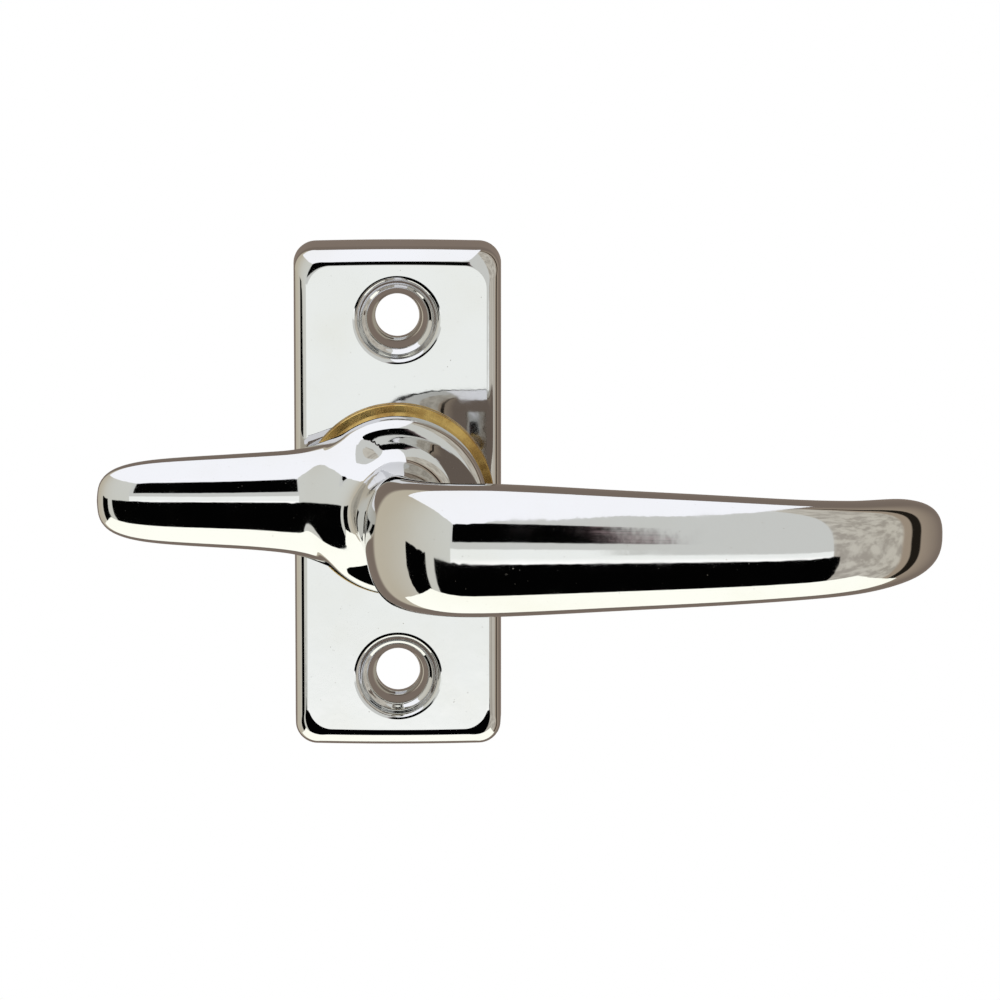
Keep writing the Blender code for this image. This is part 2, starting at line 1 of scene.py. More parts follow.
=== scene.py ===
"""Fine surfaces, materials, studio light and camera for the cam-latch window handle.

The lengths in the tables are millimetres.  +Z is up and the room side is toward -Y.
"Height" means the distance from the mounting surface toward the room, so it is -Y.
"""
import math

import bmesh
import bpy
import numpy as np
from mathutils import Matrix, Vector


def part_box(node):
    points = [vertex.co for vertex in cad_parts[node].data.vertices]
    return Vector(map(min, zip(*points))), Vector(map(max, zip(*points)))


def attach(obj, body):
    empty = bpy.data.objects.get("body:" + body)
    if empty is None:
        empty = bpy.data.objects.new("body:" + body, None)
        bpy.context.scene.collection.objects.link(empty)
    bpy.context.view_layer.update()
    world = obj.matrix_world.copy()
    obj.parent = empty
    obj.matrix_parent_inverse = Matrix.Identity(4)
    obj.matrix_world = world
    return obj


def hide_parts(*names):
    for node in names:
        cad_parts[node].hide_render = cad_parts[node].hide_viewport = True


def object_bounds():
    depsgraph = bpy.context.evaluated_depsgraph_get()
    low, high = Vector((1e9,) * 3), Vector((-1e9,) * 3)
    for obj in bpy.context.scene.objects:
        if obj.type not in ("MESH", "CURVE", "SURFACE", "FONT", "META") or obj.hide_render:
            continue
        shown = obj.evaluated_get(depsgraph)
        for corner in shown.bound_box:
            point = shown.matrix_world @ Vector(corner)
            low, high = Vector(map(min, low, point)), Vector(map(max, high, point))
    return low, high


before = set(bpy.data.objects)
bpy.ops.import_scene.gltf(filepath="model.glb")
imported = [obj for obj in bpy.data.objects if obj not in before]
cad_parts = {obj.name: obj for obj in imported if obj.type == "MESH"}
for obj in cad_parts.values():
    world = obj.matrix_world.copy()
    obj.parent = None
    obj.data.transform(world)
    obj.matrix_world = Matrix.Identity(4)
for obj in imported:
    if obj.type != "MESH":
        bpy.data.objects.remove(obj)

MM = 0.001
BODY_FIXED = "base"
BODY_TURNING = "handle"

cad_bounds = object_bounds()


def node_box(node):
    """A CAD node's size in millimetres: half width, half length, back height, front height."""
    low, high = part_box(node)
    return high.x / MM, high.z / MM, -high.y / MM, -low.y / MM


PLATE_HALF_WIDTH, PLATE_HALF_LENGTH, _, PLATE_THICKNESS = node_box("base_plate")
WASHER_RADIUS, _, WASHER_BACK, WASHER_FRONT = node_box("friction_washer")
COVER_HALF_WIDTH, COVER_HALF_LENGTH, _, _ = node_box("cover_plate")
SPINDLE_RADIUS, _, _, SPINDLE_FRONT = node_box("spindle")
_, HUB_RADIUS, HUB_BACK, _ = node_box("handle")

# Base plate
WALL_DRAFT = 0.12
EDGE_ROLL_HEIGHT = 2.1
EDGE_ROLL_SIDE = 1.85
EDGE_ROLL_END = 2.3
EDGE_ROLL_STEPS = 36
BASE_CORNER_RADIUS = 2.8
FLAT_CORNER_RADIUS = 3.0
END_BOW = 0.2
SCREW_PITCH = 45.5
SCREW_HOLE = (
    # radius, height: the countersunk hole from back to front
    (2.8, 0.5),
    (2.8, 2.2),
    (2.76, 2.7),
    (2.76, 2.95),
    (2.95, 3.2),
    (3.3, 3.7),
    (3.55, 4.6),
    (3.68, 5.3),
    (3.85, 5.72),
    (4.1, 5.88),
    (4.35, 6.02),
    (4.62, 6.3),
    (4.85, 6.72),
    (5.05, 7.02),
    (5.3, 7.16),
    (5.6, PLATE_THICKNESS - 0.005),
    (5.85, PLATE_THICKNESS + 0.03),
    (5.85, PLATE_THICKNESS + 1.0),
)
SCREW_RECESS_RADIUS = 3.5
SCREW_RECESS_DEPTH = 1.8
PLATE_FLOOR = 5.9
POCKET_GAP = 0.3
POCKET_RADIUS = 1.6
PLATE_BORE_RADIUS = 4.5
BOSS_RADIUS = 2.5
BOSS_BACK = 1.1
STOP_BOSS_RADIUS = 1.8
STOP_BOSS_BACK = 3.1
PIN_HOLE_RADIUS = 1.2
PILOT_HOLE_RADIUS = 1.05
PILOT_HOLE_HEIGHTS = (0.5, 3.6)
COVER_SCREW_Z = 12.0
LUG_BACK = 3.6
LUG_X = (7.4, 10.9)
LUG_Z = (4.8, 6.4)

# Handle
HUB_PROFILE = (
    # radius, height
    (10.3, HUB_BACK),
    (11.0, HUB_BACK),
    (11.27, HUB_BACK + 0.12),
    (HUB_RADIUS, HUB_BACK + 0.5),
    (HUB_RADIUS, 11.0),
    (HUB_RADIUS, 12.3),
    (11.2, 13.0),
    (10.85, 13.55),
    (10.3, 13.85),
    (9.6, 13.95),
    (8.5, 14.0),
    (7.6, 14.05),
    (6.9, 14.3),
    (6.2, 15.0),
    (5.7, 16.1),
    (5.35, 17.8),
    (5.2, 20.0),
    (5.15, 22.5),
)
NECK_RADIUS = 5.1
BEND_RADIUS = 9.0
BEND_BASE = 34.2
BEND_ANGLE = 88.0
BEND_STEPS = 14
BEND_ROOT_HALF_WIDTH = 7.6
BEND_ROOT_FRONT = 3.9
BEND_WIDENING = 0.3
OVAL_START = 22.0
LEVER_SQUARENESS = 2.3
TIP_SQUARENESS = 2.65
TIP_RISE = 0.2
TIP_RANGE = (55.0, 63.0)
LEVER_TABLE = (
    # along X, height of the widest line, half width, front bulge, back bulge
    (11.5, 43.2, 8.15, 4.7, 3.9),
    (15.0, 43.25, 8.0, 4.65, 3.85),
    (19.5, 43.35, 7.78, 4.55, 3.75),
    (24.3, 43.45, 7.5, 4.45, 3.65),
    (30.0, 43.5, 7.2, 4.3, 3.5),
    (36.3, 43.55, 6.88, 4.15, 3.4),
    (41.5, 43.55, 6.58, 4.0, 3.3),
    (46.0, 43.45, 6.3, 3.9, 3.2),
    (50.0, 43.15, 6.05, 3.8, 3.1),
    (53.0, 42.6, 5.88, 3.7, 3.05),
    (55.8, 41.7, 5.7, 3.6, 3.0),
    (58.4, 40.3, 5.5, 3.5, 2.9),
    (60.6, 38.6, 5.25, 3.3, 2.8),
    (62.4, 36.9, 4.9, 3.0, 2.6),
    (63.9, 35.3, 4.3, 2.6, 2.25),
    (65.0, 34.1, 3.5, 2.1, 1.8),
    (65.7, 33.3, 2.5, 1.5, 1.3),
    (66.1, 32.85, 1.3, 0.8, 0.7),
    (66.2, 32.7, 0.05, 0.03, 0.03),
)
SPUR_BACK = 8.9
SPUR_TILT = 5.5
SPUR_SQUARENESS = 2.1
SPUR_RISE = 0.4
SPUR_RISE_LENGTH = 20.0
SPUR_TABLE = (
    # along X, height of the widest line, half width, front bulge, back bulge
    (-1.0, 10.9, 6.5, 4.6, 2.3),
    (-3.2, 10.9, 8.2, 5.2, 2.3),
    (-5.0, 10.9, 9.0, 5.4, 2.3),
    (-7.0, 10.9, 8.75, 5.2, 2.3),
    (-9.0, 10.9, 8.0, 4.75, 2.3),
    (-10.8, 10.9, 7.3, 4.2, 2.3),
    (-12.3, 10.9, 6.86, 3.8, 2.3),
    (-14.0, 10.9, 6.55, 3.65, 2.28),
    (-19.0, 10.9, 6.16, 3.55, 2.25),
    (-24.0, 10.9, 5.87, 3.38, 2.15),
    (-28.5, 10.9, 5.58, 3.15, 2.05),
    (-31.5, 10.9, 5.28, 2.9, 1.8),
    (-34.0, 10.9, 4.8, 2.55, 1.5),
    (-35.8, 10.9, 4.08, 2.1, 1.25),
    (-36.8, 10.9, 3.25, 1.65, 1.0),
    (-37.4, 10.9, 2.3, 1.1, 0.7),
    (-37.62, 10.9, 1.2, 0.55, 0.35),
    (-37.68, 10.9, 0.05, 0.03, 0.02),
)
BLEND_FLANK = 0.5
BLEND_FRONT = 1.8
BLEND_HEIGHTS = (12.5, 15.0)
BLEND_LOWEST = 10.4
STOP_RADIUS = 8.0
STOP_GROOVE_HALF_WIDTH = 1.3
STOP_GROOVE_HALF_ANGLE = 99.3
STOP_GROOVE_TOP = 10.1
GRUB_HEIGHT = 11.6
GRUB_HOLE_RADIUS = 2.3

# Washer
WASHER_BORE_RADIUS = 4.6
WASHER_RIM = 0.15
WASHER_RIM_STEPS = 9
WASHER_PIN_HOLE_RADIUS = 1.25

# Mesh fineness
SURFACE_STEP = 0.36
RING_POINTS = 144


# ---------------------------------------------------------------- mesh tools

def smooth_rows(rows, step=SURFACE_STEP):
    """Rows read along a cubic B-spline that has the given rows as its control points."""
    control = np.array(rows, float)
    control = np.vstack([2 * control[0] - control[1], control, 2 * control[-1] - control[-2]])
    out = []
    for index in range(len(control) - 3):
        a, b, c, d = control[index:index + 4]
        count = max(2, math.ceil(np.abs(c - b)[:2].max() / step))
        for t in np.arange(count) / count:
            out.append(((1 - t) ** 3 * a + (3 * t ** 3 - 6 * t ** 2 + 4) * b
                        + (-3 * t ** 3 + 3 * t ** 2 + 3 * t + 1) * c + t ** 3 * d) / 6)
    out.append((control[-3] + 4 * control[-2] + control[-1]) / 6)
    return np.array(out)


def skin(rings, closed_loop=False, caps=True):
    """Vertices and faces of a tube through rings of equal length, (rings, points, 3)."""
    rings = np.asarray(rings, float)
    ring_count, point_count, _ = rings.shape
    faces = []
    last = ring_count if closed_loop else ring_count - 1
    for ring in range(last):
        for point in range(point_count):
            after = (point + 1) % point_count
            here, there = ring * point_count, (ring + 1) % ring_count * point_count
            faces.append((here + point, here + after, there + after, there + point))
    if caps and not closed_loop:
        faces.append(tuple(range(point_count))[::-1])
        faces.append(tuple(range((ring_count - 1) * point_count, ring_count * point_count)))
    return rings.reshape(-1, 3), faces


def make_object(name, parts, scale=MM):
    """A mesh object from one or more (vertices, faces) parts given in millimetres."""
    vertices, faces = [], []
    for part_vertices, part_faces in parts:
        start = len(vertices)
        vertices += (np.asarray(part_vertices) * scale).tolist()
        faces += [tuple(start + corner for corner in face) for face in part_faces]
    mesh = bpy.data.meshes.new(name)
    mesh.from_pydata(vertices, [], faces)
    mesh.update()
    item = bpy.data.objects.new(name, mesh)
    bpy.context.scene.collection.objects.link(item)
    outward_faces(mesh)
    return item


def outward_faces(mesh):
    data = bmesh.new()
    data.from_mesh(mesh)
    bmesh.ops.remove_doubles(data, verts=data.verts, dist=1e-7)
    bmesh.ops.recalc_face_normals(data, faces=data.faces)
    data.to_mesh(mesh)
    data.free()


def carve(item, *operations):
    """Applies (operation, parts) Booleans to the item's mesh, one after the other."""
    for operation, parts in operations:
        cutter = make_object("cutter", parts)
        modifier = item.modifiers.new("carve", "BOOLEAN")
        modifier.operation = operation
        modifier.solver = "EXACT"
        modifier.object = cutter
        graph = bpy.context.evaluated_depsgraph_get()
        mesh = bpy.data.meshes.new_from_object(item.evaluated_get(graph))
        item.modifiers.clear()
        item.data = mesh
        bpy.data.objects.remove(cutter, do_unlink=True)
    return item


def turned(profile, points=RING_POINTS, closed_loop=False, centre=(0.0, 0.0)):
    """A body turned about an axis along Y from (radius, height) points."""
    angles = np.arange(points) * math.tau / points
    rings = [np.stack([centre[0] + radius * np.cos(angles), np.full(points, -height),
                       centre[1] + radius * np.sin(angles)], 1) for radius, height in profile]
    return skin(rings, closed_loop)


def block(x_range, heights, z_range):
    corners = [(x_range[0], z_range[0]), (x_range[1], z_range[0]),
               (x_range[1], z_range[1]), (x_range[0], z_range[1])]
    return skin([[(x, -height, z) for x, z in corners] for height in heights])


def rounded_outline(half_width, half_length, radius, bow=0.0, corner_steps=24, side_steps=24):
    """Points (x, z) around a rectangle with round corners; bow lowers the corners in Z."""
    points = []
    for corner, (side, end) in enumerate(((1, 1), (-1, 1), (-1, -1), (1, -1))):
        for step in range(corner_steps + 1):
            angle = math.pi / 2 * (corner + step / corner_steps)
            points.append((side * (half_width - radius) + radius * math.cos(angle),
                           end * (half_length - radius) + radius * math.sin(angle)))
        along_x = corner in (0, 2)
        start = side * (half_width - radius) if along_x else end * (half_length - radius)
        for step in range(1, side_steps):
            place = start * (1 - 2 * step / side_steps)
            points.append((place, end * half_length) if along_x else (side * half_width, place))
    return [(x, z * (1 - bow / half_length * (x / half_width) ** 2)) for x, z in points]


def slab_rings(half_width, half_length, radius, heights_and_insets):
    rings = []
    for height, inset in heights_and_insets:
        outline = rounded_outline(half_width - inset, half_length - inset, radius - inset,
                                  corner_steps=10, side_steps=2)
        rings.append([(x, -height, z) for x, z in outline])
    return rings


def finish_piece(item, material, body, node, sharp_angle=35.0):
    item.data.materials.clear()
    item.data.materials.append(material)
    item.data.shade_smooth()
    item.data.set_sharp_from_angle(angle=math.radians(sharp_angle))
    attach(item, body)
    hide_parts(node)
    return item


# ---------------------------------------------------------------- handle

def ease(value, start, end):
    """Goes smoothly from 0 at the start to 1 at the end."""
    share = np.clip((value - start) / (end - start), 0.0, 1.0)
    return share * share * (3 - 2 * share)


def section_rings(rows):
    """Pillow-shaped rings; a row is x, height, heading, half width, front, back, squareness."""
    angles = np.arange(RING_POINTS) * math.tau / RING_POINTS
    cosine, sine = np.cos(angles), np.sin(angles)
    rings = []
    for x, height, heading, half_width, front, back, squareness in rows:
        power = 2 / squareness
        width = np.sign(cosine) * np.abs(cosine) ** power * half_width
        depth = np.sign(sine) * np.abs(sine) ** power * np.where(sine > 0, front, back)
        rings.append(np.stack([x - math.cos(heading) * depth,
                               -height - math.sin(heading) * depth,
                               width + TIP_RISE * ease(x, *TIP_RANGE)], 1))
    return np.array(rings)


def hub_rows():
    return [(0.0, height, 0.0, radius, radius, radius, 2.0) for radius, height in HUB_PROFILE]


def neck_and_bend_rows():
    rows = []
    for height in (25.0, 28.0, 31.0):
        oval = ease(height, OVAL_START, BEND_BASE)
        rows.append((0.0, height, 0.0, NECK_RADIUS + (BEND_ROOT_HALF_WIDTH - NECK_RADIUS) * oval,
                     NECK_RADIUS + (BEND_ROOT_FRONT - NECK_RADIUS) * oval, NECK_RADIUS, 2.0))
    _, _, half_width, front, back = LEVER_TABLE[0]
    for step in range(BEND_STEPS + 1):
        angle = math.radians(BEND_ANGLE) * step / BEND_STEPS
        share = math.sin(angle)
        wide = share ** BEND_WIDENING
        rows.append((BEND_RADIUS * (1 - math.cos(angle)), BEND_BASE + BEND_RADIUS * share, angle,
                     BEND_ROOT_HALF_WIDTH + (half_width - BEND_ROOT_HALF_WIDTH) * wide,
                     BEND_ROOT_FRONT + (front - BEND_ROOT_FRONT) * share,
                     NECK_RADIUS + (back - NECK_RADIUS) * share,
                     2.0 + (LEVER_SQUARENESS - 2.0) * share))
    return rows


def lever_rows():
    places = np.array(LEVER_TABLE)[:, :2]
    run = np.gradient(places, axis=0)
    headings = np.arctan2(run[:, 0], run[:, 1])
    return [(x, height, heading, half_width, front, back,
             LEVER_SQUARENESS + (TIP_SQUARENESS - LEVER_SQUARENESS) * ease(x, *TIP_RANGE))
            for (x, height, half_width, front, back), heading in zip(LEVER_TABLE, headings)]


def spur_sections():
    return smooth_rows(SPUR_TABLE)


def spur_rise(x):
    """How far the spur's centre line lies above the axis."""
    return SPUR_RISE * ease(-x, 0.0, SPUR_RISE_LENGTH)


def spur_ring(row):
    """One ring of the spur: an oval, tipped to face slightly down, with a flat back."""
    x, height, half_width, front, back = row
    angles = np.arange(RING_POINTS) * math.tau / RING_POINTS
    cosine, sine = np.cos(angles), np.sin(angles)
    power = 2 / SPUR_SQUARENESS
    width = np.sign(cosine) * np.abs(cosine) ** power * half_width
    depth = np.sign(sine) * np.abs(sine) ** power * np.where(sine > 0, front, back)
    tilt = math.radians(SPUR_TILT)
    z = width * math.cos(tilt) - depth * math.sin(tilt) + spur_rise(x)
    heights = height + depth * math.cos(tilt) + width * math.sin(tilt)
    return np.stack([np.full(RING_POINTS, x), -np.maximum(heights, SPUR_BACK), z], 1)


def hub_distance(points):
    """Distance of points from the turned surface of hub and neck, in millimetres."""
    outline = smooth_rows([row for row in HUB_PROFILE if row[1] >= 9.0], 0.03)
    run = np.gradient(outline, axis=0)
    facing = np.stack([run[:, 1], -run[:, 0]], 1) / np.linalg.norm(run, axis=1)[:, None]
    place = np.stack([np.hypot(points[:, 0], points[:, 2]), -points[:, 1]], 1)
    nearest = ((place[:, None] - outline[None]) ** 2).sum(2).argmin(1)
    return ((place - outline[nearest]) * facing[nearest]).sum(1)


def spur_distance(points):
    """Distance of points from the spur's oval surface, in millimetres."""
    rows = spur_sections()[::-1]
    x = np.clip(points[:, 0], rows[0, 0], rows[-1, 0])
    height, half_width, front, _ = (np.interp(x, rows[:, 0], rows[:, column])
                                    for column in range(1, 5))
    tilt = math.radians(SPUR_TILT)
    forward = -points[:, 1] - height
    upward = points[:, 2] - spur_rise(points[:, 0])
    width = upward * math.cos(tilt) + forward * math.sin(tilt)
    depth = -upward * math.sin(tilt) + forward * math.cos(tilt)
    size = ((np.abs(width) / half_width) ** SPUR_SQUARENESS
            + (np.abs(depth) / front) ** SPUR_SQUARENESS) ** (1 / SPUR_SQUARENESS)
    size = np.maximum(size, 1e-6)
    return np.maximum(np.hypot(width, depth) * (1 - 1 / size), points[:, 0] - rows[-1, 0])


def blend_size(points):
    """How far the fillet reaches: small on the flanks, larger on the front."""
    low, high = BLEND_HEIGHTS
    share = np.clip((-points[:, 1] - low) / (high - low), 0.0, 1.0)
    return BLEND_FLANK + (BLEND_FRONT - BLEND_FLANK) * share ** 2 * (3 - 2 * share)


def joined_distance(points):
    """Distance from hub and spur joined with a fillet."""
    hub, spur = hub_distance(points), spur_distance(points)
    reach = blend_size(points)
    overlap = np.maximum(reach - np.abs(hub - spur), 0.0) / reach
    return np.minimum(hub, spur) - overlap ** 2 * reach / 4


def gradient(field, points, step=0.01):
    parts = []
    for axis in range(3):
        offset = np.zeros(3)
        offset[axis] = step
        parts.append((field(points + offset) - field(points - offset)) / (2 * step))
    return np.stack(parts, 1)


def near_fillet(points):
    """True for points on the front side that lie between the hub and the spur."""
    height = -points[:, 1]
    near = ((height > BLEND_LOWEST) & (height < 20.0) & (points[:, 0] < 0.0)
            & (points[:, 0] > -HUB_RADIUS - 3.0))
    chosen = points[near]
    near[near] = np.abs(hub_distance(chosen) - spur_distance(chosen)) < blend_size(chosen)
    return near


def mesh_points(mesh):
    points = np.empty(len(mesh.vertices) * 3)
    mesh.vertices.foreach_get("co", points)
    return points.reshape(-1, 3) / MM


def fillet_spur_root(item):
    """Moves the points near the corner between hub and spur onto a smooth fillet."""
    points = mesh_points(item.data)
    near = near_fillet(points)
    chosen = points[near]
    for _ in range(6):
        normal = gradient(joined_distance, chosen)
        size = np.maximum((normal ** 2).sum(1), 1e-6)
        chosen -= (joined_distance(chosen) / size)[:, None] * normal
    share = np.clip((-points[near][:, 1] - BLEND_LOWEST) / 0.8, 0, 1)[:, None]
    points[near] += (chosen - points[near]) * share
    item.data.vertices.foreach_set("co", (points * MM).ravel())
    item.data.update()


def fillet_normals(points):
    """Smooth normals for the points on the fillet; zero elsewhere."""
    normals = np.zeros_like(points)
    near = near_fillet(points) & (-points[:, 1] > BLEND_LOWEST + 0.9)
    near[near] = np.abs(joined_distance(points[near])) < 0.03
    normal = gradient(joined_distance, points[near])
    normals[near] = normal / np.linalg.norm(normal, axis=1)[:, None]
    return normals


def set_normals(item, rule):
    """Sets the normals that a rule gives for the points; zero keeps a corner's usual normal."""
    corners = np.empty(len(item.data.loops), int)
    item.data.loops.foreach_get("vertex_index", corners)
    item.data.normals_split_custom_set(rule(mesh_points(item.data))[corners].tolist())


def stop_groove():
    """The arc-shaped groove in the back of the hub in which the stop pin travels."""
    steps = 60
    half_angle = math.radians(STOP_GROOVE_HALF_ANGLE)
    inner, outer = STOP_RADIUS - STOP_GROOVE_HALF_WIDTH, STOP_RADIUS + STOP_GROOVE_HALF_WIDTH
    rings = []
    for step in range(steps + 1):
        angle = math.pi / 2 - half_angle + 2 * half_angle * step / steps
        rings.append([(radius * math.cos(angle), -height, radius * math.sin(angle))
                      for radius, height in ((inner, HUB_BACK - 1), (outer, HUB_BACK - 1),
                                             (outer, STOP_GROOVE_TOP), (inner, STOP_GROOVE_TOP))])
    return skin(rings)


def pointing_down(part, height):
    """A body turned about the Y axis, laid down so that its axis runs down at a height."""
    vertices, faces = part
    return np.stack([vertices[:, 0], -height + vertices[:, 2], vertices[:, 1]], 1), faces


def build_handle(material):
    """Hub, neck, lever and spur in one body, with the bore, stop groove and grub screw hole."""
    rows = smooth_rows(hub_rows() + neck_and_bend_rows() + lever_rows())
    item = make_object("lever_handle", [skin(section_rings(rows))])
    carve(item, ("UNION", [skin([spur_ring(row) for row in spur_sections()])]))
    fillet_spur_root(item)
    bore_radius = SPINDLE_RADIUS + 0.3
    bore = turned(((bore_radius, HUB_BACK - 1), (bore_radius, SPINDLE_FRONT + 0.4),
                   (0.01, SPINDLE_FRONT + 1.9)), 64)
    grub_hole = pointing_down(turned(((GRUB_HOLE_RADIUS, 2.0), (GRUB_HOLE_RADIUS, 13.0)), 48),
                              GRUB_HEIGHT)
    carve(item, ("DIFFERENCE", [bore]), ("DIFFERENCE", [stop_groove()]),
          ("DIFFERENCE", [grub_hole]))
    finish_piece(item, material, BODY_TURNING, "handle")
    set_normals(item, fillet_normals)
    return item


# ---------------------------------------------------------------- base plate

def plate_ring(height, share=0.0, inset=0.0):
    """One ring of the plate; share runs from 0 at the wall to 1 where the front is flat."""
    radius = BASE_CORNER_RADIUS + (FLAT_CORNER_RADIUS - BASE_CORNER_RADIUS) * share - inset
    outline = rounded_outline(PLATE_HALF_WIDTH - EDGE_ROLL_SIDE * share - inset,
                              PLATE_HALF_LENGTH - EDGE_ROLL_END * share - inset, radius, END_BOW)
    return [(x, -height, z) for x, z in outline]


def build_plate(material):
    roll_start = PLATE_THICKNESS - EDGE_ROLL_HEIGHT
    rings = [plate_ring(0.0, inset=0.12), plate_ring(0.03, inset=0.04), plate_ring(0.12)]
    rings += [plate_ring(roll_start * step / 8, inset=WALL_DRAFT * step / 8) for step in range(1, 8)]
    for step in range(EDGE_ROLL_STEPS + 1):
        angle = math.pi / 2 * step / EDGE_ROLL_STEPS
        rings.append(plate_ring(PLATE_THICKNESS - EDGE_ROLL_HEIGHT * (1 - math.sin(angle)),
                                1 - math.cos(angle), WALL_DRAFT))
    item = make_object("plate_casting", [skin(rings)])
    pocket = skin(slab_rings(COVER_HALF_WIDTH + POCKET_GAP, COVER_HALF_LENGTH + POCKET_GAP,
                             POCKET_RADIUS, ((-1.0, 0.0), (PLATE_FLOOR, 0.0))))
    bosses = [turned(((BOSS_RADIUS, BOSS_BACK), (BOSS_RADIUS, PLATE_FLOOR + 0.5)), 48,
                     centre=(0.0, side * COVER_SCREW_Z)) for side in (-1, 1)]
    stop_boss = turned(((STOP_BOSS_RADIUS, STOP_BOSS_BACK), (STOP_BOSS_RADIUS, PLATE_FLOOR + 0.5)),
                       48, centre=(0.0, STOP_RADIUS))
    lugs = [block(sorted(side * x for x in LUG_X), (LUG_BACK, PLATE_FLOOR + 0.4),
                  sorted(end * z for z in LUG_Z)) for side in (-1, 1) for end in (-1, 1)]
    profile = smooth_rows(SCREW_HOLE, 0.12)
    holes = [turned(profile, 96, centre=(0.0, side * SCREW_PITCH / 2)) for side in (-1, 1)]
    recesses = [turned(((SCREW_RECESS_RADIUS, -1.0), (SCREW_RECESS_RADIUS, SCREW_RECESS_DEPTH)), 64,
                       centre=(0.0, side * SCREW_PITCH / 2)) for side in (-1, 1)]
    holes.append(turned(((PLATE_BORE_RADIUS, 5.0), (PLATE_BORE_RADIUS, 8.5)), 96))
    pin_hole = turned(((PIN_HOLE_RADIUS, 3.5), (PIN_HOLE_RADIUS, 8.2)), 32,
                      centre=(0.0, STOP_RADIUS))
    pilots = [turned([(PILOT_HOLE_RADIUS, height) for height in PILOT_HOLE_HEIGHTS], 32,
                     centre=(0.0, side * COVER_SCREW_Z)) for side in (-1, 1)]
    carve(item, ("DIFFERENCE", [pocket]), ("UNION", bosses + lugs), ("UNION", [stop_boss]),
          ("DIFFERENCE", holes + [pin_hole] + pilots), ("DIFFERENCE", recesses))
    finish_piece(item, material, BODY_FIXED, "base_plate")
    set_normals(item, flat_front_normals)
    return item


def flat_front_normals(points):
    """The plate's front is flat right up to where its edge starts to roll."""
    normals = np.zeros_like(points)
    normals[-points[:, 1] > PLATE_THICKNESS - 0.002] = (0.0, -1.0, 0.0)
    return normals


def build_washer(material):
    """The brass ring between plate and hub, turned, with a rounded outer rim."""
    middle, half = (WASHER_BACK + WASHER_FRONT) / 2, (WASHER_FRONT - WASHER_BACK) / 2
    profile = [(WASHER_BORE_RADIUS, WASHER_BACK), (WASHER_RADIUS - WASHER_RIM, WASHER_BACK)]
    for step in range(1, WASHER_RIM_STEPS):
        angle = math.pi * step / WASHER_RIM_STEPS
        profile.append((WASHER_RADIUS - WASHER_RIM * (1 - math.sin(angle)),
                        middle - half * math.cos(angle)))
    profile += [(WASHER_RADIUS - WASHER_RIM, WASHER_FRONT), (WASHER_BORE_RADIUS, WASHER_FRONT)]
    item = make_object("washer_ring", [turned(profile, 200, closed_loop=True)])
    pin_hole = turned(((WASHER_PIN_HOLE_RADIUS, 6.5), (WASHER_PIN_HOLE_RADIUS, 9.5)), 32,
                      centre=(0.0, STOP_RADIUS))
    carve(item, ("DIFFERENCE", [pin_hole]))
    return finish_piece(item, material, BODY_FIXED, "friction_washer")


# ---------------------------------------------------------------- materials

class Nodes:
    """Short names for adding nodes to one node tree."""

    def __init__(self, tree):
        self.tree = tree

    def add(self, kind, **settings):
        node = self.tree.nodes.new(kind)
        for name, value in settings.items():
            setattr(node, name, value)
        return node

    def feed(self, socket, value):
        if isinstance(value, bpy.types.NodeSocket):
            self.tree.links.new(value, socket)
        elif value is not None:
            socket.default_value = value

    def math(self, operation, first, second=None):
        node = self.add("ShaderNodeMath", operation=operation)
        self.feed(node.inputs[0], first)
        self.feed(node.inputs[1], second)
        return node.outputs[0]

    def ramp(self, value, low, high, to_low=0.0, to_high=1.0):
        node = self.add("ShaderNodeMapRange", interpolation_type="SMOOTHSTEP")
        for socket, number in zip(node.inputs[:5], (value, low, high, to_low, to_high)):
            self.feed(socket, number)
        return node.outputs[0]

    def mix(self, share, first, second):
        node = self.add("ShaderNodeMix", data_type="RGBA")
        colours = [(*c, 1.0) if isinstance(c, tuple) else c for c in (first, second)]
        for socket, value in zip((node.inputs[0], node.inputs[6], node.inputs[7]),
                                 (share, *colours)):
            self.feed(socket, value)
        return node.outputs[2]

    def noise(self, vector, scale, detail=3.0, roughness=0.5):
        node = self.add("ShaderNodeTexNoise")
        self.feed(node.inputs["Vector"], vector)
        node.inputs["Scale"].default_value = scale
        node.inputs["Detail"].default_value = detail
        node.inputs["Roughness"].default_value = roughness
        return node.outputs[0]

    def bump(self, height, distance, strength=1.0):
        node = self.add("ShaderNodeBump")
        node.inputs["Strength"].default_value = strength
        node.inputs["Distance"].default_value = distance
        self.feed(node.inputs["Height"], height)
        return node.outputs[0]


def new_metal(name):
    """A fully metallic material, its node helper, its shader and the position to build on."""
    material = bpy.data.materials.new(name)
    material.use_nodes = True
    nodes = Nodes(material.node_tree)
    shader = material.node_tree.nodes["Principled BSDF"]
    shader.inputs["Metallic"].default_value = 1.0
    position = nodes.add("ShaderNodeTexCoord").outputs["Object"]
    return material, nodes, shader, position


def chrome(name):
    """Bright chrome plate: clear, slightly wavy, with faint smudges, haze and pin specks."""
    material, nodes, shader, position = new_metal(name)
    cloud = nodes.ramp(nodes.noise(position, 90.0, 4.0), 0.4, 0.75)
    clean = nodes.mix(cloud, (0.665, 0.668, 0.675), (0.645, 0.643, 0.632))
    specks = nodes.ramp(nodes.noise(position, 2600.0, 2.0, 0.7), 0.72, 0.78)
    nodes.feed(shader.inputs["Base Color"], nodes.mix(specks, clean, (0.4, 0.37, 0.33)))
    smudge = nodes.noise(position, 260.0, 5.0, 0.6)
    haze = nodes.ramp(smudge, 0.35, 0.8, 0.025, 0.075)
    nodes.feed(shader.inputs["Roughness"], nodes.mix(specks, haze, (0.35, 0.35, 0.35)))
    waves = nodes.noise(position, 420.0, 2.0)
    nodes.feed(shader.inputs["Normal"], nodes.bump(waves, 0.000005))
    return material


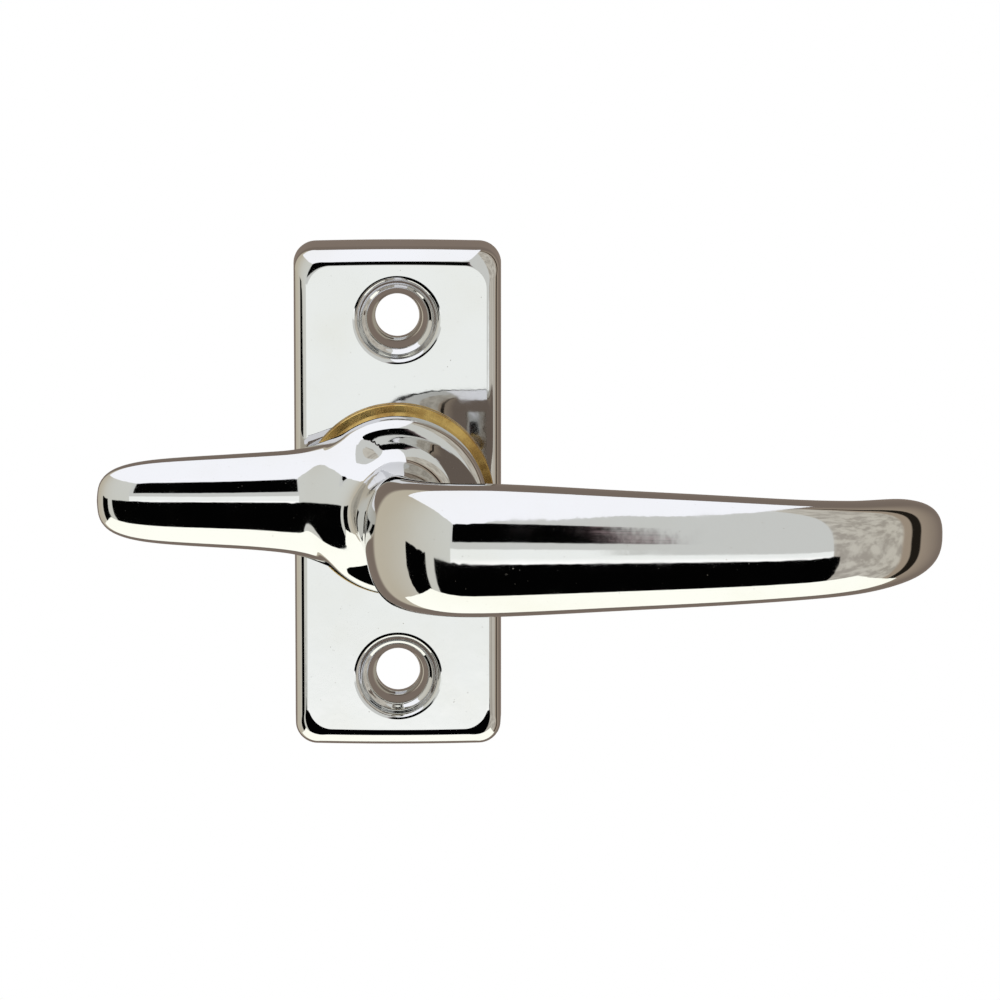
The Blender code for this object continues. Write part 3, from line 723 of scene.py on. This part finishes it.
def worn_edges(nodes, radius):
    """1 along outside edges, where a plating or a dark coat is rubbed off."""
    rounded = nodes.add("ShaderNodeBevel", samples=4)
    rounded.inputs["Radius"].default_value = radius * MM
    true_normal = nodes.add("ShaderNodeNewGeometry").outputs["Normal"]
    dot = nodes.add("ShaderNodeVectorMath", operation="DOT_PRODUCT")
    nodes.feed(dot.inputs[0], rounded.outputs[0])
    nodes.feed(dot.inputs[1], true_normal)
    return nodes.ramp(dot.outputs["Value"], 0.97, 0.8)


def tool_lines(nodes, position, turned_part, spacing):
    """Fine lines left by the tool: rings on turned parts, straight lines on rolled sheet."""
    lines = nodes.add("ShaderNodeTexWave", wave_type="RINGS" if turned_part else "BANDS")
    if turned_part:
        lines.rings_direction = "Y"
    else:
        lines.bands_direction = "Z"
    nodes.feed(lines.inputs["Vector"], position)
    lines.inputs["Scale"].default_value = 0.3 / (spacing * MM)
    lines.inputs["Distortion"].default_value = 1.5
    lines.inputs["Detail"].default_value = 2.0
    return lines.outputs["Fac"]


def worked_metal(name, fresh, stained, worn, roughness, turned_part=True, spacing=0.12,
                 pores=0.0):
    """A worked metal: stains in patches, lines from the tool, rubbed edges and some pores."""
    material, nodes, shader, position = new_metal(name)
    stain = nodes.ramp(nodes.noise(position, 350.0, 5.0, 0.6), 0.4, 0.7)
    colour = nodes.mix(stain, fresh, stained)
    lines = tool_lines(nodes, position, turned_part, spacing)
    colour = nodes.mix(nodes.math("MULTIPLY", lines, 0.18), colour, worn)
    colour = nodes.mix(nodes.math("MULTIPLY", worn_edges(nodes, 0.15), 0.8), colour, worn)
    grain = nodes.noise(position, 5200.0, 3.0, 0.7)
    height = nodes.math("ADD", nodes.math("MULTIPLY", lines, 0.6), grain)
    if pores:
        pore = nodes.ramp(nodes.noise(position, 3600.0, 2.0), 0.6, 0.66)
        colour = nodes.mix(nodes.math("MULTIPLY", pore, pores), colour, (0.03, 0.018, 0.01))
        height = nodes.math("SUBTRACT", height, nodes.math("MULTIPLY", pore, 3.0))
    nodes.feed(shader.inputs["Base Color"], colour)
    low, high = roughness
    nodes.feed(shader.inputs["Roughness"],
               nodes.ramp(nodes.noise(position, 700.0, 4.0), 0.3, 0.75, low, high))
    nodes.feed(shader.inputs["Normal"], nodes.bump(height, 0.000006, 0.7))
    return material


def brass(name):
    return worked_metal(name, (0.56, 0.38, 0.12), (0.34, 0.19, 0.05), (0.7, 0.52, 0.22),
                        (0.16, 0.34))


def sintered_bronze(name):
    return worked_metal(name, (0.4, 0.25, 0.11), (0.24, 0.14, 0.06), (0.52, 0.34, 0.16),
                        (0.34, 0.55), pores=0.8)


def zinc_plate(name, turned_part=True):
    return worked_metal(name, (0.55, 0.565, 0.58), (0.43, 0.435, 0.42), (0.66, 0.65, 0.62),
                        (0.24, 0.44), turned_part)


def spring_steel(name, turned_part=False):
    return worked_metal(name, (0.3, 0.31, 0.34), (0.2, 0.2, 0.21), (0.47, 0.46, 0.45),
                        (0.22, 0.38), turned_part, spacing=0.07)


def black_oxide(name):
    return worked_metal(name, (0.05, 0.05, 0.056), (0.075, 0.06, 0.048), (0.26, 0.24, 0.22),
                        (0.36, 0.56))


def finish_cad_nodes():
    """Gives every node that keeps its CAD mesh a material with grain, stains and worn edges."""
    turned_zinc, rolled_zinc = zinc_plate("zinc_turned"), zinc_plate("zinc_rolled", False)
    leaf, ring = spring_steel("spring_leaf_steel"), spring_steel("spring_ring_steel", True)
    dark = black_oxide("black_oxide_steel_finish")
    finishes = {
        "bearing_bush": sintered_bronze("sintered_bronze_finish"),
        "stop_pin": turned_zinc, "spindle": turned_zinc,
        "cover_screw_upper": turned_zinc, "cover_screw_lower": turned_zinc,
        "cover_plate": rolled_zinc, "square_cam": rolled_zinc,
        "click_spring_upper": leaf, "click_spring_lower": leaf, "wave_washer": ring,
        "grub_screw": dark, "retaining_clip": dark,
    }
    for node, material in finishes.items():
        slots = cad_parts[node].data.materials
        slots.clear()
        slots.append(material)


# ---------------------------------------------------------------- studio

CAMERA_AZIMUTH = -0.5
CAMERA_ELEVATION = 10.0
CAMERA_DISTANCE = 0.9
CAMERA_TARGET = (12.9, -7.2, -0.16)
SENSOR_WIDTH = 36.0
FOCAL_LENGTH = 257.256
FLOOR_DROP = 120.0


def build_camera():
    azimuth, elevation = math.radians(CAMERA_AZIMUTH), math.radians(CAMERA_ELEVATION)
    back = Vector((math.sin(azimuth) * math.cos(elevation),
                   -math.cos(azimuth) * math.cos(elevation), math.sin(elevation)))
    data = bpy.data.cameras.new("camera")
    data.sensor_width = SENSOR_WIDTH
    data.lens = FOCAL_LENGTH
    data.clip_start = 0.01
    camera = bpy.data.objects.new("camera", data)
    camera.location = Vector(CAMERA_TARGET) * MM + back * CAMERA_DISTANCE
    camera.rotation_mode = "QUATERNION"
    camera.rotation_quaternion = (-back).to_track_quat("-Z", "Y")
    bpy.context.scene.collection.objects.link(camera)
    bpy.context.scene.camera = camera


def build_floor():
    half = 3000.0
    level = cad_bounds[0].z / MM - FLOOR_DROP
    corners = [(-half, -half, level), (half, -half, level), (half, half, level),
               (-half, half, level)]
    floor = make_object("floor", [(np.array(corners), [(0, 1, 2, 3)])])
    material = bpy.data.materials.new("white_floor")
    material.use_nodes = True
    nodes = Nodes(material.node_tree)
    glow = nodes.add("ShaderNodeEmission")
    output = material.node_tree.nodes["Material Output"]
    material.node_tree.links.new(glow.outputs[0], output.inputs["Surface"])
    floor.data.materials.append(material)
    floor.visible_glossy = False
    floor.visible_diffuse = False
    floor.visible_shadow = False


def build_studio_light():
    """The studio around the object, as light that depends on the direction.

    White cloth above and below, a pale strip just under the horizon in front, dark cloth
    above and below that strip, and a warm grey room to the sides and behind.
    """
    world = bpy.data.worlds.new("studio")
    bpy.context.scene.world = world
    world.use_nodes = True
    tree = world.node_tree
    tree.nodes.clear()
    nodes = Nodes(tree)
    direction = nodes.add("ShaderNodeTexCoord").outputs["Generated"]
    split = nodes.add("ShaderNodeSeparateXYZ")
    tree.links.new(direction, split.inputs[0])
    right, behind, up = split.outputs
    turn = nodes.math("ARCTAN2", right, nodes.math("MULTIPLY", behind, -1.0))
    turn_size = nodes.math("ABSOLUTE", turn)
    unevenness = nodes.math("MULTIPLY", nodes.math("SUBTRACT", nodes.noise(direction, 9.0, 5.0), 0.5),
                            0.05)

    def both(first, second):
        return nodes.math("MULTIPLY", first, second)

    def region(*planes, ragged=None):
        """1 inside all the planes; each gives weights of right, front and up that add up to
        more than zero on its inner side."""
        result = None
        for to_right, to_front, to_up in planes:
            dot = nodes.add("ShaderNodeVectorMath", operation="DOT_PRODUCT")
            nodes.feed(dot.inputs[0], direction)
            dot.inputs[1].default_value = (to_right, -to_front, to_up)
            gap = dot.outputs["Value"]
            if ragged is not None:
                gap = nodes.math("ADD", gap, ragged)
            step = nodes.ramp(gap, -0.008, 0.008)
            result = step if result is None else both(result, step)
        return result

    # warm grey room: a smooth change on the left, mottled on the right, darker behind
    left_room = nodes.mix(nodes.ramp(turn, -2.1, -0.31), (0.69, 0.626, 0.497), (0.86, 0.87, 0.81))
    mottle = nodes.ramp(nodes.noise(direction, 7.0, 5.0, 0.6), 0.38, 0.62)
    right_room = nodes.mix(mottle, (0.5, 0.46, 0.4), (0.76, 0.72, 0.63))
    beside = nodes.mix(nodes.ramp(turn, 0.45, 0.56), left_room, right_room)
    rear_room = nodes.mix(nodes.ramp(turn_size, 1.6, 2.5), (0.47, 0.385, 0.3), (0.25, 0.2, 0.165))
    behind_left, behind_right = nodes.ramp(turn, -2.2, -2.35), nodes.ramp(turn, 1.42, 1.5)
    room = nodes.mix(nodes.math("MAXIMUM", behind_left, behind_right), beside, rear_room)
    post = both(nodes.ramp(turn, 1.6, 1.64), nodes.ramp(turn, 1.82, 1.78))
    room = nodes.mix(post, room, (0.02, 0.016, 0.012))

    # pale ground in front, with the bright strip under the horizon
    ahead = region((-1.75, 1.0, 0.0), (2.5, 1.0, 0.0))
    pale = nodes.mix(ahead, room, (0.82, 0.83, 0.795))
    strip_white = nodes.mix(nodes.ramp(up, -0.185, -0.235), (1.22, 1.25, 1.21), (1.5, 1.5, 1.46))
    wide_strip = both(region((0.0, -0.108, -1.0)), nodes.ramp(turn, 0.061, 0.044))
    strip = nodes.math("MAXIMUM", wide_strip, region((0.0, -0.167, -1.0)))
    colour = nodes.mix(both(ahead, strip), pale, strip_white)

    # dark cloth above the horizon, frayed on its right
    narrow = region((2.8, 1.0, 0.0), (0.0, 0.013, 1.0), (0.0, 0.36, -1.0))
    speckle = nodes.ramp(nodes.noise(direction, 60.0, 4.0), 0.4, 0.6)
    frayed = nodes.mix(both(speckle, nodes.ramp(turn, 0.03, 0.075)), (0.001, 0.001, 0.001),
                       (0.42, 0.31, 0.32))
    colour = nodes.mix(both(narrow, nodes.ramp(turn, 0.075, 0.06)), colour, frayed)

    # dark cloth below the strip, in two lengths with a gap between them on the left
    low_cloth = region((0.0, -0.25, -1.0), (-1.5, 1.0, 0.0), (0.27, 1.0, 0.0), ragged=unevenness)
    gap = both(nodes.ramp(turn, -0.88, -0.86), nodes.ramp(turn, -0.69, -0.71))
    low_cloth = both(low_cloth, nodes.math("SUBTRACT", 1.0, gap))
    colour = nodes.mix(low_cloth, colour, (0.001, 0.001, 0.001))

    # white cloth above and below
    above = region((0.0, -0.35, 1.0), (-5.0, -0.35, 1.0), (0.95, 0.0, 1.0), (0.0, 3.0, 1.0),
                   ragged=unevenness)
    colour = nodes.mix(above, colour, (1.34, 1.35, 1.4))
    below = region((0.0, -1.25, -1.0), (-1.0, 0.0, -1.0), (1.0, 0.0, -1.0), (0.0, 3.0, -1.0),
                   ragged=unevenness)
    colour = nodes.mix(below, colour, (1.5, 1.5, 1.35))

    seen = nodes.add("ShaderNodeLightPath").outputs["Is Camera Ray"]
    background = nodes.add("ShaderNodeBackground")
    tree.links.new(nodes.mix(seen, colour, (1.0, 1.0, 1.0)), background.inputs["Color"])
    output = nodes.add("ShaderNodeOutputWorld")
    tree.links.new(background.outputs[0], output.inputs["Surface"])


bpy.context.scene.view_settings.view_transform = "Standard"
build_camera()
build_floor()
build_studio_light()
build_plate(chrome("plate_chrome_finish"))
build_handle(chrome("handle_chrome_finish"))
build_washer(brass("brass_finish"))
finish_cad_nodes()
